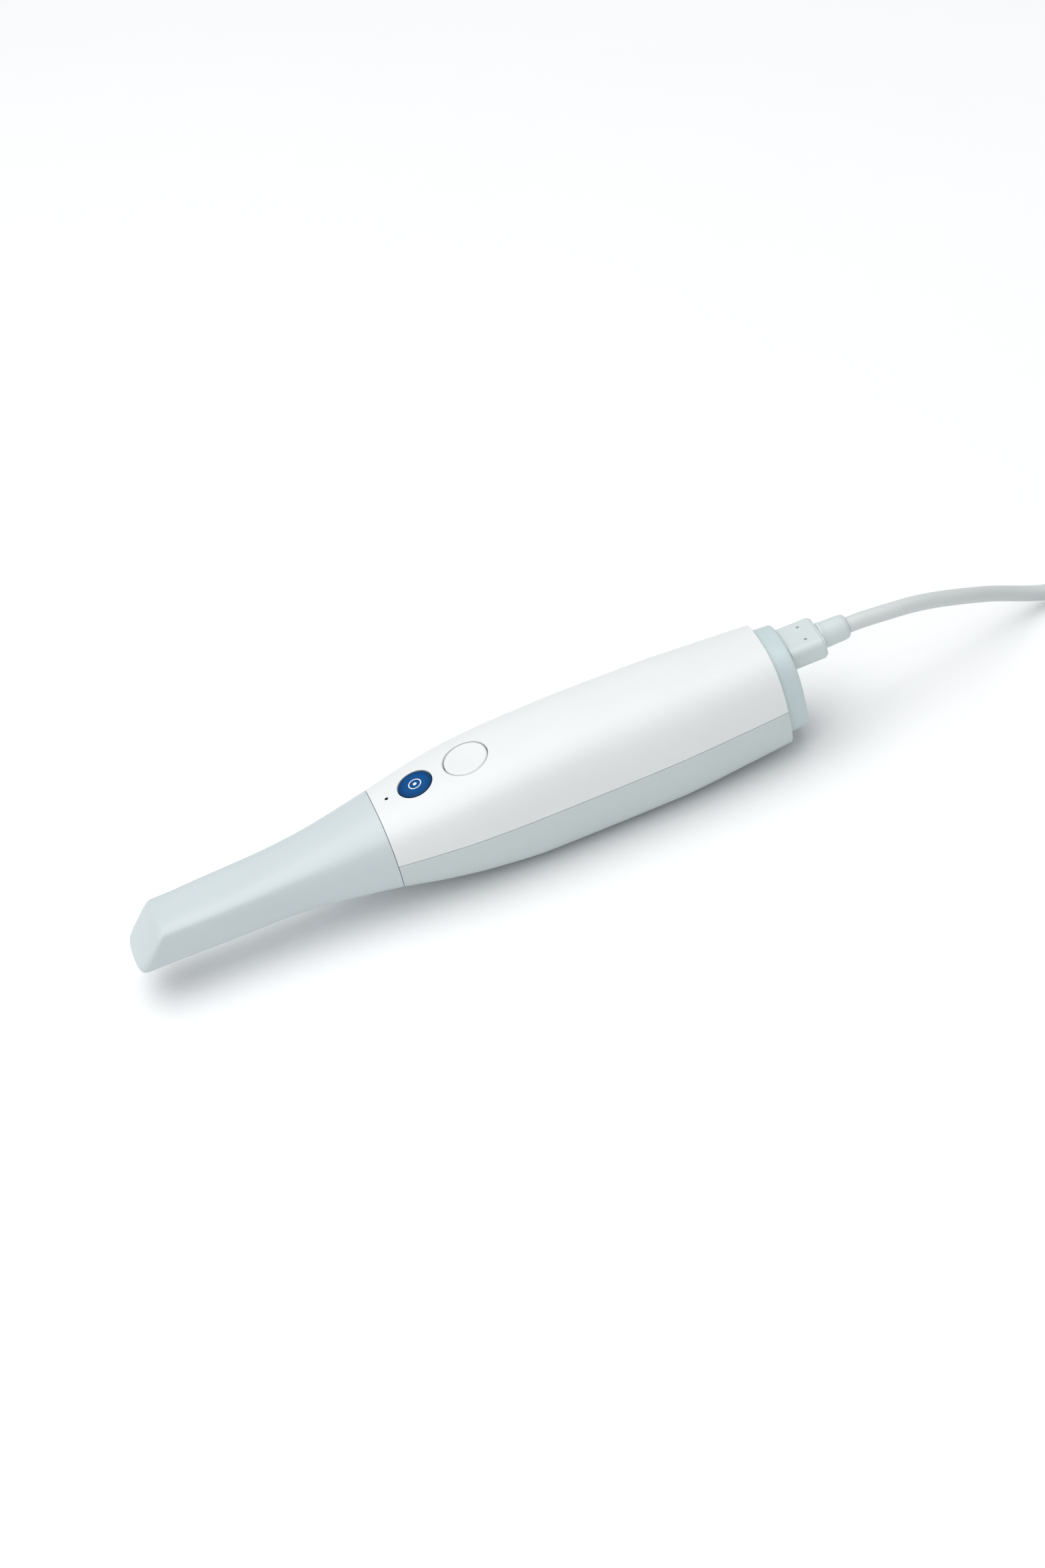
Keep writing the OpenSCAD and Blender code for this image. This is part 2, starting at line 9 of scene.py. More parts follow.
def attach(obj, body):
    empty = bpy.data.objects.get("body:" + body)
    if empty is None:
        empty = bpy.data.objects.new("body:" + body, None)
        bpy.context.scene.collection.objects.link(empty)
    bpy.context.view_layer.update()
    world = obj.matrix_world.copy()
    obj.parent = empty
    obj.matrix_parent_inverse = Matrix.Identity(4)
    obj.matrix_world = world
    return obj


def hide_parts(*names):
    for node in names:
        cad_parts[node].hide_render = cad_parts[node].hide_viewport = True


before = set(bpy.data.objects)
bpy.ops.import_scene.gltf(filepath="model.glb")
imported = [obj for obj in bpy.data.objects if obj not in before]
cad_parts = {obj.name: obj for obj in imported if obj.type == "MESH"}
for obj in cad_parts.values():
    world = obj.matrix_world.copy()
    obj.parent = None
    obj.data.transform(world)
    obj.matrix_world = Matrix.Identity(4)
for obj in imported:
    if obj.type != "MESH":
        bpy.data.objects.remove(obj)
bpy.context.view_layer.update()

MM = 0.001
SEGMENTS = 96                   # round a button, a hole or a neck
QUARTER, SHELL_QUARTER = 30, 44 # steps in a quarter of a cross-section, and of a shell's

# The outline of the handpiece in millimetres: distance from the first station, half width, height
# above the axis, depth below it, and how square the upper and the lower half are
OUTLINE = np.array([
    [0, 11.0, 6.9, 8.9, 4.9, 4.8],
    [12, 11.0, 7.0, 8.9, 4.9, 4.8],
    [32, 11.6, 7.6, 9.1, 4.4, 4.4],
    [52, 12.2, 8.9, 9.5, 3.6, 3.5],
    [66, 13.4, 10.7, 10.9, 3.0, 2.9],
    [80, 15.4, 13.3, 13.5, 2.7, 2.5],
    [93, 17.4, 15.7, 16.2, 2.7, 2.3],
    [108, 19.6, 18.0, 19.4, 3.0, 2.4],
    [124, 21.3, 20.1, 21.8, 3.1, 2.5],
    [146, 22.0, 22.0, 23.7, 2.9, 2.6],
    [168, 22.0, 22.8, 23.8, 2.8, 2.6],
    [192, 21.7, 22.7, 23.8, 2.7, 2.6],
    [221, 19.9, 21.7, 21.8, 2.7, 2.6],
    [244, 17.9, 20.9, 19.9, 2.7, 2.6],
])
ORIGIN = np.array([-121.5, 0, 23.8])    # the first station, on the body axis
TIP_BACK, SHELL_FRONT, SHELL_BACK = 92.93, 93.1, 236.5
RING_FRONT, RING_BACK, RING_IN = 232.5, 244, (2.1, 2.1, 3.6)
SOCKET_Z = 11.8
LIGHT_S, MODE_S, SCAN_S = 98, 108.7, 127.7
PLUG_S = 244.2
SPLIT_Z, SEAM = 1, 0.16
SHELL_WALL, TIP_WALL, FRONT_WALL = 2, 1.6, 2
CORD_D = 5.7


# ---- Camera ----
CAMERA_TURN = (-7.85, 40.39, 16.8)      # azimuth, elevation and roll, in degrees
CAMERA_AWAY = 1.13623                   # metres from the point it looks at


def make_camera():
    azimuth, elevation, roll = (math.radians(d) for d in CAMERA_TURN)
    back = Vector((math.sin(azimuth) * math.cos(elevation), -math.cos(azimuth) * math.cos(elevation),
                   math.sin(elevation)))
    right = Vector((math.cos(azimuth), math.sin(azimuth), 0))
    up = back.cross(right)
    across = right * math.cos(roll) - up * math.sin(roll)
    above = right * math.sin(roll) + up * math.cos(roll)
    target = Vector((0.0225, 0, 0.02369))
    camera = bpy.data.objects.new("camera", bpy.data.cameras.new("camera"))
    bpy.context.scene.collection.objects.link(camera)
    turned = Matrix((across, above, back)).transposed().to_4x4()
    camera.matrix_world = Matrix.Translation(target + back * CAMERA_AWAY) @ turned
    camera.data.lens = 76.03
    camera.data.sensor_width = 36
    bpy.context.scene.camera = camera


make_camera()

# ---- Cord: from the neck down to the floor, into a tied coil, and out to the far plug ----
ROUTE = [(146, 0, 35.6), (151, 0, 35.5), (156, 0.1, 35), (162, 0.4, 34.1), (170, 1.5, 32.3), (180, 3.6, 28.5),
         (189, 5.5, 24.3), (196, 7.4, 20.5), (203, 9.3, 16.5), (210, 10.7, 12.3), (217, 11.5, 8.4),
         (223, 11.9, 5.7), (229, 12.1, 4), (236, 12.2, 3.3)]
TAIL = [(298, 12.2, 31.9), (303, 12.1, 30.8), (309, 11.9, 28.4), (315, 11.5, 24.4), (321, 11, 18.6),
        (327, 10.4, 12.6), (333, 9.8, 8.4), (339, 9.3, 5.9), (344, 9, 4.7), (350, 8.9, 4.2)]
COIL_X, COIL_Y = (248.5, 293), -13.14       # ends of the coil's straight runs, and its middle line
COIL_MID, COIL_PITCH = 21.25, 6             # radius of its bends, and sideways from turn to turn
COIL_FLOOR, COIL_RISE = 3.25, 5.8           # height of the lowest turn's middle, and from layer to layer
COIL_LAYERS = 6
COIL_TURNS = 8.19 / COIL_LAYERS             # turns in a layer
RUN_SHARE = 0.19                            # of a turn, in each straight run
TURN_POINTS = 24
STRAP_X = (261, 271)                        # the edges of the straps round the straight runs
STRAP_CORNER = 2.4


def coil_place(turn, radius):
    """x and y on the oval at this turn: out on the +Y side, round the far end and back on the -Y side."""
    phase = turn % 1
    side, along = (1, phase) if phase < 0.5 else (-1, phase - 0.5)
    near, far = COIL_X if side > 0 else COIL_X[::-1]
    if along <= RUN_SHARE:
        return near + (far - near) * along / RUN_SHARE, COIL_Y + side * radius
    angle = math.pi * (along - RUN_SHARE) / (0.5 - RUN_SHARE)
    return far + side * radius * math.sin(angle), COIL_Y + side * radius * math.cos(angle)


def coil_points():
    """The layers run inwards and outwards by turns, each lying on the one below."""
    total = COIL_LAYERS * COIL_TURNS
    half = COIL_TURNS * COIL_PITCH / 2
    points = []
    for t in np.linspace(0, total, round(total * TURN_POINTS) + 1):
        layer = min(int(t / COIL_TURNS), COIL_LAYERS - 1)
        along = t / COIL_TURNS - layer
        inwards = 1 - 2 * along if layer % 2 == 0 else 2 * along - 1
        climb = [np.clip((t - k * COIL_TURNS) / 0.2 + 0.5, 0, 1) for k in range(1, COIL_LAYERS)]
        height = COIL_FLOOR + COIL_RISE * sum(c * c * (3 - 2 * c) for c in climb)
        points.append((*coil_place(t, COIL_MID + half * inwards), height))
    return points


def make_cord():
    points = [Vector(p) * MM for p in ROUTE + coil_points() + TAIL]
    curve = bpy.data.curves.new("data_cord", "CURVE")
    curve.dimensions = "3D"
    curve.resolution_u = 6
    curve.bevel_depth = CORD_D / 2 * MM
    curve.bevel_resolution = 5
    curve.use_fill_caps = True
    spline = curve.splines.new("BEZIER")
    spline.bezier_points.add(len(points) - 1)
    for i, (knot, p) in enumerate(zip(spline.bezier_points, points)):
        before, after = points[max(i - 1, 0)], points[min(i + 1, len(points) - 1)]
        way = (after - before).normalized()
        knot.co = p
        knot.handle_left_type = knot.handle_right_type = "FREE"
        knot.handle_left = p - way * (p - before).length / 3
        knot.handle_right = p + way * (after - p).length / 3
    cord = bpy.data.objects.new("data_cord", curve)
    bpy.context.scene.collection.objects.link(cord)
    return cord


cord = make_cord()


# ---- The outline as a smooth curve through its stations ----
def tangents(column):
    steps = np.diff(OUTLINE[:, 0])
    secants = np.diff(OUTLINE[:, column]) / steps
    inner = [0 if a * b <= 0 else 2 * a * b / (a + b) for a, b in zip(secants, secants[1:])]
    return np.array([secants[0], *inner, secants[-1]])


TANGENTS = np.array([tangents(k) for k in range(6)]).T


def outline(s):
    """Half width, height, depth and the two squareness numbers at this distance from the first station."""
    i = int(np.clip(np.searchsorted(OUTLINE[:, 0], s, side="right") - 1, 0, len(OUTLINE) - 2))
    h = OUTLINE[i + 1, 0] - OUTLINE[i, 0]
    u = (s - OUTLINE[i, 0]) / h
    u2, u3 = u * u, u * u * u
    value = ((2 * u3 - 3 * u2 + 1) * OUTLINE[i] + (u3 - 2 * u2 + u) * h * TANGENTS[i]
             + (3 * u2 - 2 * u3) * OUTLINE[i + 1] + (u3 - u2) * h * TANGENTS[i + 1])
    return value[1:]


def arc(s, inset, start, end, count):
    """count + 1 evenly spaced points [y, z] of the cross-section, between two angles of a quarter."""
    side, top, bottom = inset
    half, up, down, upper, lower = outline(s)
    n, height = (upper, up - top) if start + end > 0 else (lower, down - bottom)
    t = start + (end - start) * (1 - np.cos(np.linspace(0, np.pi, 240))) / 2
    c, q = np.cos(t), np.sin(t)
    y = (half - side) * np.sign(c) * np.abs(c) ** (2 / n)
    z = height * np.sign(q) * np.abs(q) ** (2 / n)
    along = np.concatenate([[0], np.cumsum(np.hypot(np.diff(y), np.diff(z)))])
    even = np.linspace(0, along[-1], count + 1)
    return np.column_stack([np.interp(even, along, y), np.interp(even, along, z)])


def mirrored(points):
    """The points, and then their mirror images back from the last one."""
    return np.vstack([points, points[-2::-1] * (-1, 1)])


def section(s, inset):
    """The whole cross-section as a ring of [y, z], starting at the +Y side."""
    if np.isscalar(inset):
        inset = (inset,) * 3
    upper = mirrored(arc(s, inset, 0, math.pi / 2, QUARTER))
    lower = mirrored(arc(s, inset, 0, -math.pi / 2, QUARTER))
    return np.vstack([upper, lower[::-1][1:-1]])


def ring(s, inset):
    yz = section(s, inset)
    return np.column_stack([np.full(len(yz), s), yz])


def top_height(s, y):
    half, up, _, n, _ = outline(s)
    return up * (1 - min(abs(y) / half, 1) ** n) ** (1 / n)


def bottom_depth(s, y):
    half, _, down, _, n = outline(s)
    return -down * (1 - min(abs(y) / half, 1) ** n) ** (1 / n)


class OnTop:
    """A place on the top line of the outline, with its own x along the surface and z along the normal."""

    def __init__(self, s):
        self.s, self.z = s, outline(s)[1]
        self.angle = math.atan(outline(s + 0.5)[1] - outline(s - 0.5)[1])

    def place(self, p):
        c, q = math.cos(self.angle), math.sin(self.angle)
        x, y, z = np.asarray(p, float).T
        return np.column_stack([self.s + x * c - z * q, y, self.z + x * q + z * c])

    def surface(self, x, y):
        """The height of the outer surface over this place's own (x, y)."""
        c, q = math.cos(self.angle), math.sin(self.angle)
        z = 0.0
        for _ in range(4):
            z = (top_height(self.s + x * c - z * q, y) - self.z - x * q) / c
        return z


# ---- Meshes ----
def band(a, b, count):
    """Quads between two closed rows of count vertices that start at a and b."""
    return [(a + i, a + (i + 1) % count, b + (i + 1) % count, b + i) for i in range(count)]


def make_piece(name, points, faces, place=None):
    """A piece from millimetre points on the body axis, or from others that place maps to the row frame."""
    points = np.asarray(points, float)
    points = (points + ORIGIN if place is None else place(points)) * MM
    mesh = bpy.data.meshes.new(name)
    mesh.from_pydata(points.tolist(), [], faces)
    mesh.validate()
    mesh.shade_smooth()
    piece = bpy.data.objects.new(name, mesh)
    bpy.context.scene.collection.objects.link(piece)
    bpy.context.view_layer.update()
    face_outwards(piece)
    return piece


def face_outwards(piece):
    bm = bmesh.new()
    bm.from_mesh(piece.data)
    bmesh.ops.recalc_face_normals(bm, faces=bm.faces)
    bm.to_mesh(piece.data)
    bm.free()


def skin(name, rings, loop=False, place=None):
    """A closed skin over rings with the same number of points. Without loop, the two end rings are filled."""
    count, last = len(rings[0]), len(rings) - 1
    faces = [f for k in range(last) for f in band(k * count, (k + 1) * count, count)]
    if loop:
        faces += band(last * count, 0, count)
    else:
        faces += [tuple(range(count)), tuple(last * count + i for i in range(count))]
    return make_piece(name, np.vstack(rings), faces, place)


def lathe(name, profile, place, follow=None, segments=SEGMENTS):
    """A surface of revolution about z from (radius, height) or (radius, height, weight) points. It starts and
    ends on the axis. follow(x, y) times the weight is added to the height."""
    points, faces, rows = [], [], []
    for radius, height, *weight in profile:
        turns = 1 if radius == 0 else segments
        rows.append((len(points), turns))
        for k in range(turns):
            x = radius * math.cos(2 * math.pi * k / segments)
            y = radius * math.sin(2 * math.pi * k / segments)
            lift = weight[0] * follow(x, y) if weight and weight[0] else 0
            points.append((x, y, height + lift))
    for (a, m), (b, n) in zip(rows, rows[1:]):
        if m > 1 and n > 1:
            faces += band(a, b, segments)
        elif n > 1:
            faces += [(a, b + k, b + (k + 1) % n) for k in range(n)]
        elif m > 1:
            faces += [(a + k, a + (k + 1) % m, b) for k in range(m)]
    return make_piece(name, points, faces, place)


def rounded(width, height, radius, corner=8):
    """A rounded rectangle as a ring of [y, z]."""
    quarter = np.linspace(0, math.pi / 2, corner + 1)
    side, top = width / 2 - radius, height / 2 - radius
    centres = [(side, top), (-side, top), (-side, -top), (side, -top)]
    turns = [quarter + k * math.pi / 2 for k in range(4)]
    return np.vstack([np.column_stack([y + radius * np.cos(turn), z + radius * np.sin(turn)])
                      for (y, z), turn in zip(centres, turns)])


def bar(name, stations, width, height, radius, place):
    """A rounded bar along x from (x, inset) stations."""
    rings = []
    for x, inset in stations:
        yz = rounded(width - 2 * inset, height - 2 * inset, max(radius - inset, 0.3))
        rings.append(np.column_stack([np.full(len(yz), x), yz]))
    return skin(name, rings, place=place)


def fillet(x, inset, radius, rising, count=6):
    """Stations of a rounded end, from its face to its side when rising, otherwise back."""
    turn = np.linspace(0, math.pi / 2, count + 1)
    ends = [(x + radius * (1 - math.cos(a)), inset + radius * (1 - math.sin(a))) for a in turn]
    return ends if rising else [(2 * x - p, i) for p, i in ends[::-1]]


def finished(piece):
    """The piece's modifiers become its mesh."""
    bpy.context.view_layer.update()
    shape = piece.evaluated_get(bpy.context.evaluated_depsgraph_get())
    mesh = bpy.data.meshes.new_from_object(shape)
    old = piece.data
    piece.modifiers.clear()
    piece.data = mesh
    mesh.name = piece.name
    bpy.data.meshes.remove(old)
    return piece


def bevel(piece, width, segments=3, angle=50):
    edge = piece.modifiers.new("edge", "BEVEL")
    edge.width = width * MM
    edge.segments = segments
    edge.limit_method = "ANGLE"
    edge.angle_limit = math.radians(angle)
    return piece


def cut(piece, *cutters, angle=32):
    for cutter in cutters:
        hole = piece.modifiers.new("cut", "BOOLEAN")
        hole.operation = "DIFFERENCE"
        hole.solver = "EXACT"
        hole.object = cutter
    finished(piece)
    for cutter in cutters:
        bpy.data.objects.remove(cutter)
    piece.data.shade_smooth()
    piece.data.set_sharp_from_angle(angle=math.radians(angle))
    normals = piece.modifiers.new("normals", "WEIGHTED_NORMAL")
    normals.keep_sharp = True
    return piece


def prism(name, x, half_width, z, radius):
    """An upright prism with rounded corners, to cut with."""
    outline_yz = rounded(x[1] - x[0], 2 * half_width, radius)
    middle = (x[0] + x[1]) / 2
    rings = [np.column_stack([middle + outline_yz[:, 0], outline_yz[:, 1], np.full(len(outline_yz), h)])
             for h in z]
    return skin(name, rings)


# ---- Tip: a cup with a leaning end face, and a window in its underside ----
FACE_SLOPE, LIP_Z, LEAN_LEN, BULGE, TIP_NOSE, TIP_ROUND = 0.88, -6.5, 24, 0.007, 1, 2.4


def face(z):
    d = z - LIP_Z
    return FACE_SLOPE * (d + np.sqrt(d * d + 2.25)) / 2


def face_x(z):
    return face(z) - face(LIP_Z - 0.4) - TIP_NOSE


def tip_ring(s, inset, curved):
    yz = section(s, inset)
    x = s + max(0, 1 - s / LEAN_LEN) * (face_x(yz[:, 1]) + curved * BULGE * yz[:, 0] ** 2)
    return np.column_stack([x, yz])


def make_tip():
    rounding = fillet(0, 0, TIP_ROUND, True, 9)
    outside = [tip_ring(s, i, 1) for s, i in rounding]
    outside += [tip_ring(s, 0, 1) for s in np.linspace(TIP_ROUND, TIP_BACK - 0.1, 56)[1:]]
    inside = [tip_ring(s, TIP_WALL, 0) for s in np.linspace(TIP_BACK, FRONT_WALL, 40)]
    rings = outside + [tip_ring(TIP_BACK, 0.1, 1)] + inside
    count = len(rings[0])
    points = np.vstack(rings)
    faces = [f for k in range(len(rings) - 1) for f in band(k * count, (k + 1) * count, count)]
    for edge, curved, s in ((0, 1, 0), ((len(rings) - 1) * count, 0, FRONT_WALL)):
        yz = points[edge:edge + count, 1:]
        lean = 1 - s / LEAN_LEN
        last = edge
        for size in (0.92, 0.8, 0.65, 0.5, 0.35, 0.2, 0.08):
            inner = yz * size + (0, -(1 - size))
            x = s + lean * (face_x(inner[:, 1]) + curved * BULGE * inner[:, 0] ** 2)
            faces += band(last, len(points), count)
            last = len(points)
            points = np.vstack([points, np.column_stack([x, inner])])
        faces.append(tuple(range(last, last + count)))
    tip = make_piece("tip_cover", points, faces)
    window = prism("window_cutter", (5.5, 20.5), 6.7, (-12, -6), 2)
    recess = prism("recess_cutter", (2.6, 25.9), 8.45, (-12, -8.1), 2.6)
    cut(tip, window, recess)
    return tip


def make_bezel():
    """A frame let into the underside, level with the tip's own surface."""
    rim = rounded(23, 16.6, 2.4) + (14.25, 0)
    hole = rounded(14, 12.4, 1.9) + (13, 0)
    loops = [rim + (hole - rim) * t for t in (0, 0.04, 0.25, 0.5, 0.75, 0.95, 1)]
    low = [np.column_stack([p, [bottom_depth(x, y) for x, y in p]]) for p in loops]
    high = [np.column_stack([p, np.full(len(p), -8.14)]) for p in loops]
    low[-1][:, 2] += 0.12
    low[0][:, 2] += 0.04
    return skin("tip_window_frame", low + high[::-1], loop=True)


tip = make_tip()
bezel = make_bezel()


# ---- Nose under the tip, with its seal ----
def make_nose():
    outside = fillet(50, 2, 0.5, True, 4) + [(s, 2) for s in np.linspace(51, 86.7, 26)]
    groove = [(87, 2.15), (87, 2.8), (89, 2.8), (89, 2.15), (89.2, 2.1), (96.3, 2.15), (96.5, 2.3)]
    inside = [(s, 3.6) for s in np.linspace(96.5, 50.3, 30)] + [(50, 3.4)]
    return skin("nose", [ring(s, i) for s, i in outside + groove + inside], loop=True)


def make_seal():
    """A soft lip that stands a little proud of the nose."""
    profile = [(87.05, 2.75), (87.05, 2.1), (87.3, 1.95), (87.7, 1.87), (88.3, 1.87), (88.7, 1.95),
               (88.95, 2.1), (88.95, 2.75)]
    return skin("nose_seal_ring", [ring(s, i) for s, i in profile], loop=True)


nose = make_nose()
seal = make_seal()


# ---- Body shells ----
def shell_ring(s, upper):
    _, up, _, n_up, _ = outline(s)
    rows = []
    for inset in (0, SHELL_WALL):
        if upper:
            start = math.asin((SPLIT_Z / (up - inset)) ** (n_up / 2))
            points = mirrored(arc(s, (inset,) * 3, start, math.pi / 2, SHELL_QUARTER))
        else:
            start = math.asin(((SPLIT_Z - SEAM) / (up - inset)) ** (n_up / 2))
            side = arc(s, (inset,) * 3, start, 1e-6, 2)[:-1]
            points = mirrored(np.vstack([side, arc(s, (inset,) * 3, 0, -math.pi / 2, SHELL_QUARTER)]))
        rows.append(points)
    yz = np.vstack([rows[0], rows[1][::-1]])
    return np.column_stack([np.full(len(yz), s), yz])


def make_shell(name, upper):
    rings = [shell_ring(s, upper) for s in np.linspace(SHELL_FRONT, SHELL_BACK, 76)]
    count = len(rings[0])
    arc_count = count // 2
    faces = [f for k in range(len(rings) - 1) for f in band(k * count, (k + 1) * count, count)]
    for base in (0, (len(rings) - 1) * count):
        faces += [(base + i, base + i + 1, base + count - 2 - i, base + count - 1 - i)
                  for i in range(arc_count - 1)]
    shell = make_piece(name, np.vstack(rings), faces)
    return finished(bevel(shell, 0.18))


def hole_cutter(name, spot, radius, lip):
    """A round cutter whose flared top follows the outer surface, so the hole's lip is even all round."""
    profile = [(0, -9), (radius, -9), (radius, -lip, 1), (radius + 0.12 * lip, -0.6 * lip, 1),
               (radius + 0.4 * lip, -0.25 * lip, 1), (radius + 0.8 * lip, -0.06 * lip, 1),
               (radius + 1.2 * lip, 0.03 * lip, 1), (radius + 1.3 * lip, 1, 1), (0, 1)]
    return lathe(name, profile, lambda p: spot.place(p) + ORIGIN, spot.surface)


scan_spot, mode_spot, light_spot = OnTop(SCAN_S), OnTop(MODE_S), OnTop(LIGHT_S)
upper_shell = make_shell("top_shell", True)
cut(upper_shell, hole_cutter("scan_cutter", scan_spot, 8.15, 0.45),
    hole_cutter("mode_cutter", mode_spot, 6.4, 0.3), hole_cutter("light_cutter", light_spot, 0.65, 0.15))
lower_shell = make_shell("bottom_shell", False)
lower_shell.data.shade_smooth()
lower_shell.data.set_sharp_from_angle(angle=math.radians(32))


def make_rear_ring():
    rim, wall = 0.8, 1.2
    outside = [(s, 0) for s in np.linspace(RING_FRONT, RING_BACK - rim, 8)]
    outside += fillet(RING_BACK, 0, rim, False, 6)[1:]
    inside = [(RING_BACK - 0.1, wall)] + [(s, wall) for s in np.linspace(RING_BACK - 0.4, RING_FRONT, 8)]
    rings = [ring(s, [i + e for i in RING_IN]) for s, e in outside + inside]
    return skin("rear_collar", rings, loop=True)


rear_ring = make_rear_ring()
rear_ring.data.set_sharp_from_angle(angle=math.radians(40))


# ---- Buttons ----
PLUNGER = [(1.5, -4.3), (1.5, -6.4), (1.3, -6.5), (0, -6.5)]


def edge_round(radius, top, size):
    """Points of a rounded top edge, from the top to the side."""
    turn = np.linspace(0, math.pi / 2, 6)
    return [(radius - size + size * math.sin(a), top - size + size * math.cos(a), 1) for a in turn]


def on(spot):
    return lambda p: spot.place(p) + ORIGIN


def make_scan_button():
    """A dished cap with a soft edge, over its collar and plunger."""
    dish = [(r, -0.52 + 0.42 * (r / 7.1) ** 2, 1) for r in (0.6, 1.6, 2.8, 4, 5, 6, 6.6, 7)]
    profile = [(0, -0.52, 1)] + dish + edge_round(7.8, -0.1, 0.7)[1:]
    profile += [(7.8, -3.3), (8.7, -3.4), (8.8, -3.5), (8.8, -4.3)] + PLUNGER
    return lathe("scan_cap", profile, on(scan_spot), scan_spot.surface)


def make_mode_button():
    """A flush blue cap with a groove for the ring and a hollow for the dot."""
    profile = [(0, -0.45, 1), (0.7, -0.45, 1), (0.7, -0.16, 1), (0.76, -0.1, 1), (1.89, -0.1, 1),
               (1.95, -0.16, 1), (1.95, -0.45, 1), (2.4, -0.45, 1), (2.4, -0.16, 1), (2.46, -0.1, 1),
               (3.6, -0.1, 1), (4.8, -0.1, 1)]
    profile += edge_round(6.1, -0.1, 0.35)
    profile += [(6.1, -3.3), (7, -3.4), (7.1, -3.5), (7.1, -4.3)] + PLUNGER
    return lathe("mode_cap", profile, on(mode_spot), mode_spot.surface)


def make_mode_symbol():
    """A ring and a dot, set in the blue cap."""
    profile = [(0, -0.14, 1), (0.6, -0.14, 1), (0.69, -0.2, 1), (0.69, -0.44, 1), (0, -0.44, 1)]
    dot = lathe("mode_mark", profile, on(mode_spot), mode_spot.surface)
    loop = [(1.96, -0.44), (1.96, -0.2), (2.03, -0.14), (2.32, -0.14), (2.39, -0.2), (2.39, -0.44)]
    turns = np.linspace(0, 2 * math.pi, SEGMENTS, endpoint=False)
    rings = [[(r * math.cos(a), r * math.sin(a), z + mode_spot.surface(r * math.cos(a), r * math.sin(a)))
              for r, z in loop] for a in turns]
    outer = skin("mode_mark_ring", [np.array(r) for r in rings], loop=True, place=on(mode_spot))
    return joined(dot, outer)


def joined(*parts):
    """The parts become one piece, which keeps the first one's name."""
    bm = bmesh.new()
    for part in parts:
        bm.from_mesh(part.data)
    bm.to_mesh(parts[0].data)
    bm.free()
    for part in parts[1:]:
        bpy.data.objects.remove(part)
    parts[0].data.shade_smooth()
    return parts[0]


scan_button = make_scan_button()
mode_button = make_mode_button()
mode_symbol = make_mode_symbol()
for button in (scan_button, mode_button, mode_symbol):
    button.data.set_sharp_from_angle(angle=math.radians(38))


# ---- Cable's plug and neck at the handpiece ----
PLUG_W, PLUG_T, PLUG_LEN, PLUG_END = 16.7, 8.7, 12.6, 13.3     # its body, and the small step behind it


def at_plug(p):
    return p + (PLUG_S + ORIGIN[0], 0, SOCKET_Z + ORIGIN[2])


def make_plug():
    stations = fillet(0, 0, 0.6, True, 5) + [(x, 0) for x in (3, 6, 9)]
    stations += fillet(PLUG_LEN, 0, 0.6, False, 5)[:-1] + [(PLUG_LEN + 0.02, 0.6)]
    stations += fillet(PLUG_END, 0.6, 0.35, False, 4)
    plug = bar("cable_plug_body", stations, PLUG_W, PLUG_T, 2.6, at_plug)
    dimple = [(0, -1.2), (0.45, -1.1), (0.58, -0.5), (0.6, -0.04), (0.68, 0.02), (0.85, 0.3), (0, 0.3)]
    dimples = [lathe(f"dimple_{k}", dimple, lambda p, y=y: at_plug(p + (7.5, y, PLUG_T / 2)), segments=32)
               for k, y in enumerate((-3.7, 3.7))]
    return cut(plug, *dimples, angle=40)


def along_x(place):
    """A lathe's axis turned to +X before it is placed."""
    return lambda p: place(np.asarray(p)[:, [2, 1, 0]])


def make_neck():
    """A short sleeve with a small foot on the plug and a rounded end round the cord."""
    profile = [(0, PLUG_END), (4.55, PLUG_END), (4.82, 13.42), (4.9, 13.65), (4.9, 14.1), (4.72, 14.5),
               (4.68, 15.5), (4.62, 18), (4.58, 20.6), (4.5, 21.8), (4.3, 22.8), (3.95, 23.4), (3.55, 23.66),
               (3.2, 23.7), (3, 23.6), (2.9, 23.3), (0, 23.2)]
    return lathe("cable_neck_sleeve", profile, along_x(at_plug))


plug = make_plug()
neck = make_neck()
neck.data.set_sharp_from_angle(angle=math.radians(50))


# ---- Far end of the cable, and the two straps round the coil ----
def at_far_plug(p):
    return p + np.array(TAIL[-1])


def make_far_plug():
    """A moulded plug with shallow grip grooves."""
    stations = fillet(10, 0, 0.8, True, 5) + [(12.4, 0)]
    for x in (14.2, 16.6, 19, 21.4, 23.8):
        stations += [(x - 0.7, 0), (x - 0.4, 0.22), (x, 0.32), (x + 0.4, 0.22), (x + 0.7, 0)]
    stations += [(28, 0)] + fillet(33, 0, 0.8, False, 5)
    return bar("far_plug_body", stations, 15.6, 8.2, 2, at_far_plug)


def make_far_neck():
    """A strain relief with rings round it, tapering towards the cord."""
    profile = [(0, 0.6), (2.85, 0.6), (2.9, 0.15), (3, 0), (3.12, 0.1), (3.25, 0.5)]
    for x in (1.4, 3.2, 5, 6.8, 8.6):
        r = 3.25 + 0.075 * x
        profile += [(r, x - 0.5), (r - 0.3, x - 0.3), (r - 0.3, x + 0.3), (r + 0.03, x + 0.5)]
    profile += [(3.98, 10.05), (0, 10.05)]
    return lathe("far_neck_sleeve", profile, along_x(at_far_plug), segments=64)


